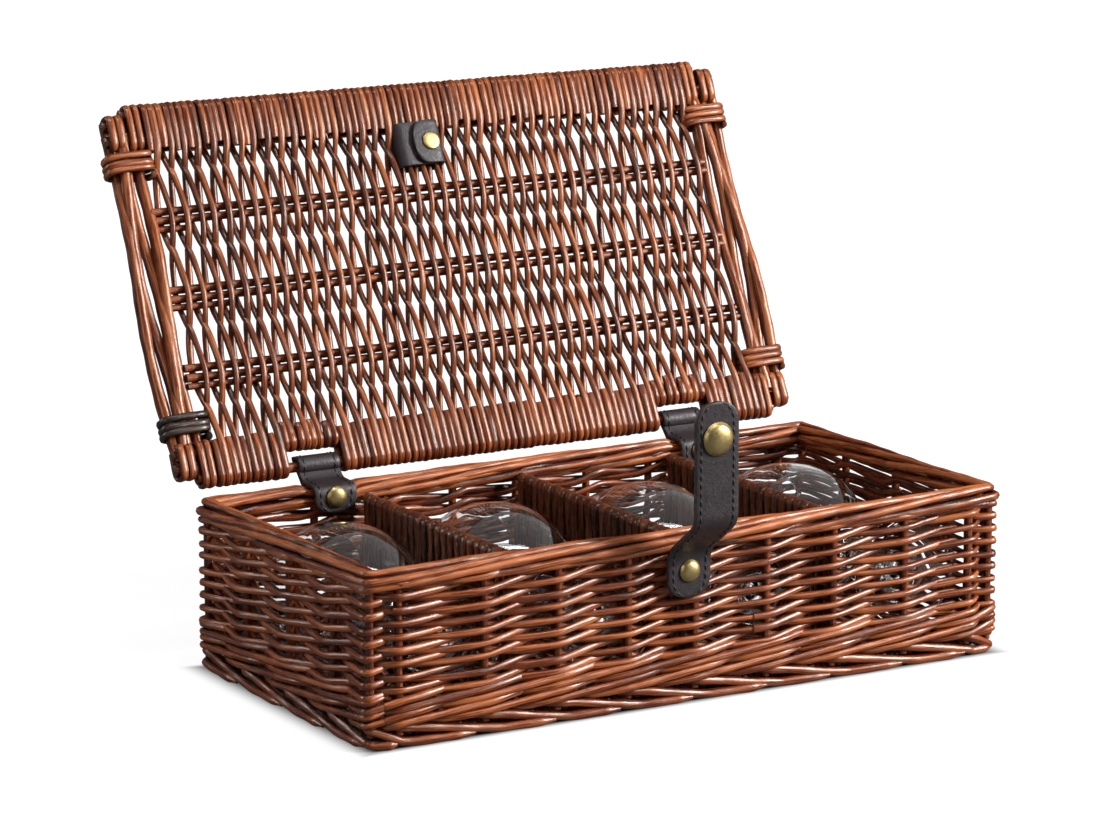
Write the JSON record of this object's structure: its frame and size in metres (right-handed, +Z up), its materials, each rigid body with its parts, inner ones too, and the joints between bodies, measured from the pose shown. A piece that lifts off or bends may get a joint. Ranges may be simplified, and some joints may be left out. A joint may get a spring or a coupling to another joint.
{
  "type": "picnic basket",
  "caption": "Rectangular willow picnic basket with a lid on leather hinge loops, a front snap strap, woven dividers and stemmed glasses lying in the compartments.",
  "frame": {"origin": "middle of the base underside, on the surface that the basket stands on", "axes": "+X along the length, to the right when seen from the strap side; +Y to the hinge side; +Z up"},
  "size_m": [0.4098, 0.3414, 0.2999],
  "materials": {
    "willow": "varnished, reddish brown",
    "dark_willow": "varnished, darker reddish brown",
    "skein": "fine split willow, dark brown",
    "leather": "dark brown, fine grain",
    "brass": "antique, polished domes",
    "glass": "clear, polished"
  },
  "bodies": {
    "basket": {"base_panel": "dark_willow", "foot_border_front": "dark_willow", "foot_border_back": "dark_willow", "foot_border_left": "dark_willow", "foot_border_right": "dark_willow", "wall_front": "willow", "wall_back": "willow", "wall_left": "willow", "wall_right": "willow", "corner_post_front_left": "willow", "corner_post_back_left": "willow", "corner_post_front_right": "willow", "corner_post_back_right": "willow", "rim_front": "willow", "rim_back": "willow", "rim_left": "willow", "rim_right": "willow", "divider_panel_left": "skein", "divider_rail_left": "skein", "divider_panel_middle": "skein", "divider_rail_middle": "skein", "divider_panel_right": "skein", "divider_rail_right": "skein", "hinge_loop_left": "leather", "hinge_rivet_left": "brass", "hinge_loop_right": "leather", "hinge_rivet_right": "brass", "strap_foot": "leather", "strap_rivet": "brass"},
    "lid": {"lid_hinge_stick": "dark_willow", "lid_back_inner_stick": "dark_willow", "lid_front_stick": "dark_willow", "lid_front_inner_stick": "dark_willow", "lid_back_stick_a": "dark_willow", "lid_back_stick_b": "dark_willow", "lid_middle_stick_a": "dark_willow", "lid_middle_stick_b": "dark_willow", "lid_front_stick_a": "dark_willow", "lid_front_stick_b": "dark_willow", "lid_weave": "willow", "lid_end_rod_left_1": "willow", "lid_end_rod_left_2": "willow", "lid_end_rod_left_3": "willow", "lid_end_rod_right_1": "willow", "lid_end_rod_right_2": "willow", "lid_end_rod_right_3": "willow", "lid_binding_back_left": "willow", "lid_binding_front_left": "willow", "lid_binding_back_right": "willow", "lid_binding_front_right": "willow", "lid_tab": "leather", "lid_tab_stud": "brass"},
    "strap_base": {"strap_lower": "leather"},
    "strap_end": {"strap_upper": "leather", "snap_cap": "brass", "snap_socket": "brass"},
    "loose_glass_1": {"glass_1": "glass"},
    "loose_glass_2": {"glass_2": "glass"},
    "loose_glass_3": {"glass_3": "glass"},
    "loose_glass_4": {"glass_4": "glass"}
  },
  "joints": [
    {"name": "lid_hinge", "type": "hinge", "parent": "basket", "child": "lid", "pos_m": [0, 0.11, 0.104], "axis": [-1, 0, 0], "range_deg": [-115.7, 0]},
    {"name": "strap_base_flex", "type": "hinge", "parent": "basket", "child": "strap_base", "pos_m": [-0.007, -0.102, 0.0845], "axis": [1, 0, 0], "range_deg": [-29.94, 47]},
    {"name": "strap_fold", "type": "hinge", "parent": "strap_base", "child": "strap_end", "pos_m": [-0.007, -0.12873, 0.10465], "axis": [1, 0, 0], "range_deg": [-60.06, 108]},
    {"name": "glass_1_lift", "type": "slide", "parent": "basket", "child": "loose_glass_1", "axis": [0, 0, 1], "range_m": [0, 0.12]},
    {"name": "glass_2_lift", "type": "slide", "parent": "basket", "child": "loose_glass_2", "axis": [0, 0, 1], "range_m": [0, 0.12]},
    {"name": "glass_3_lift", "type": "slide", "parent": "basket", "child": "loose_glass_3", "axis": [0, 0, 1], "range_m": [0, 0.12]},
    {"name": "glass_4_lift", "type": "slide", "parent": "basket", "child": "loose_glass_4", "axis": [0, 0, 1], "range_m": [0, 0.12]}
  ]
}
